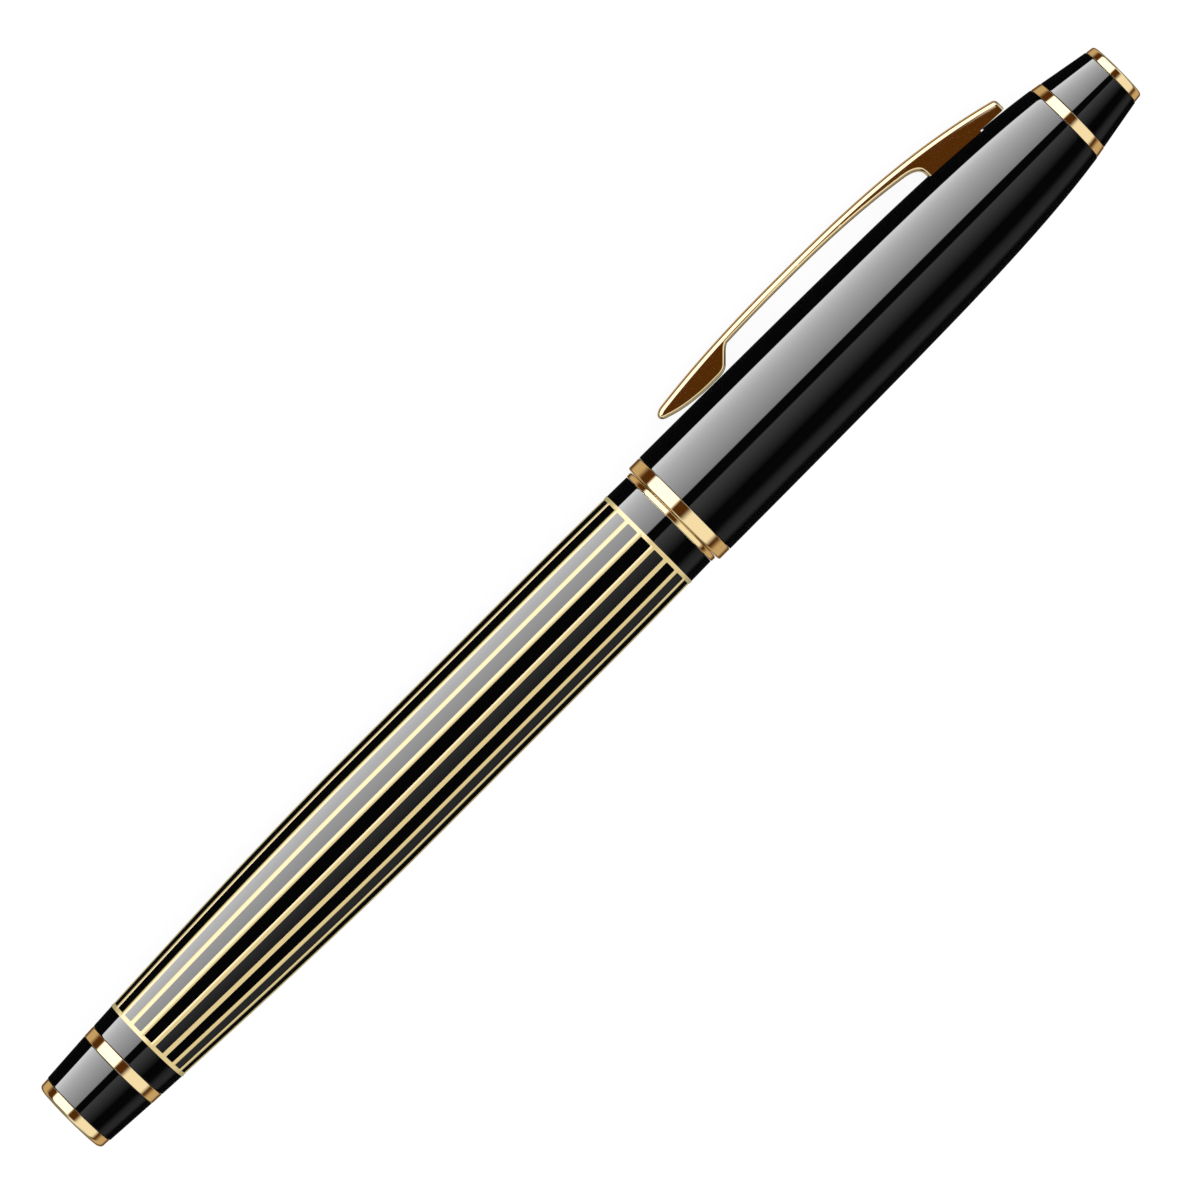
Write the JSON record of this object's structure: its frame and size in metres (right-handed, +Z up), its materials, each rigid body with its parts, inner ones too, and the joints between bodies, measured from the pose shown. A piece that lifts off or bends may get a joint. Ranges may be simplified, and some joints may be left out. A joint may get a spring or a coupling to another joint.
{
  "type": "rollerball pen",
  "caption": "Capped writing pen: black lacquered barrel with fine gold lines and rings, a pull-off cap with an arched sprung clip, and a draw-out writing section holding a refill.",
  "frame": {"origin": "on the floor, under the middle of the pen as it lies on its cap and clip", "axes": "+X along the pen towards its tail end, with the crown at -X; +Z up; the clip lies on the -Y side and points about 32 degrees below the level, where it meets the floor"},
  "size_m": [0.14, 0.0144, 0.0122],
  "materials": {
    "black_lacquer": "deep high-gloss lacquer over brass",
    "gold_plate": "polished pale gold plate",
    "turned_brass": "fine turned finish",
    "spring_steel": "bright drawn steel",
    "black_plastic": "fine moulded texture",
    "grey_plastic": "fine moulded texture",
    "ink_fibre": "bonded fibre soaked in dark ink",
    "nickel_silver": "bright turned finish",
    "carbide": "polished"
  },
  "bodies": {
    "barrel": {"tail_end_disc": "gold_plate", "tail_cone": "black_lacquer", "tail_ring": "gold_plate", "tail_stud": "turned_brass", "barrel_tube": "black_lacquer", "barrel_bush": "gold_plate", "spring_cup": "black_plastic", "refill_spring": "spring_steel"},
    "section": {"section_bush": "gold_plate", "cap_snap_ring": "spring_steel", "grip_section": "black_lacquer", "section_nose": "gold_plate"},
    "refill": {"refill_tube": "spring_steel", "refill_end_plug": "grey_plastic", "ink_reservoir": "ink_fibre", "refill_nose": "black_plastic", "writing_tip": "nickel_silver", "feed_wick": "ink_fibre"},
    "ball": {"writing_ball": "carbide"},
    "cap": {"cap_band": "gold_plate", "cap_shell": "black_lacquer", "inner_cap": "black_plastic", "clip_carrier": "turned_brass", "clip_pin": "spring_steel", "clip_spring": "spring_steel", "crown_ring": "gold_plate", "crown": "black_lacquer", "crown_end_cap": "gold_plate", "crown_stud": "spring_steel"},
    "clip": {"clip": "gold_plate"}
  },
  "joints": [
    {"name": "section_pull", "type": "slide", "parent": "barrel", "child": "section", "axis": [-1, 0, 0], "range_m": [0, 0.066]},
    {"name": "cap_pull", "type": "slide", "parent": "section", "child": "cap", "axis": [-1, 0, 0], "range_m": [0, 0.04]},
    {"name": "refill_float", "type": "slide", "parent": "section", "child": "refill", "axis": [1, 0, 0], "range_m": [0, 0.001], "stiffness_N_per_m": 300, "springref_m": -0.002, "deforming": ["refill_spring"]},
    {"name": "ball_roll", "type": "hinge", "parent": "refill", "child": "ball", "pos_m": [-0.0457, 0.00115, 0.0061], "axis": [0, -0.5266, 0.8501], "continuous": true},
    {"name": "clip_rock", "type": "hinge", "parent": "cap", "child": "clip", "pos_m": [-0.0538, -0.00179, 0.00428], "axis": [0, 0.5266, -0.8501], "range_deg": [0, 2.5], "stiffness_Nm_per_rad": 1, "springref_deg": -1.15, "deforming": ["clip_spring"]}
  ]
}
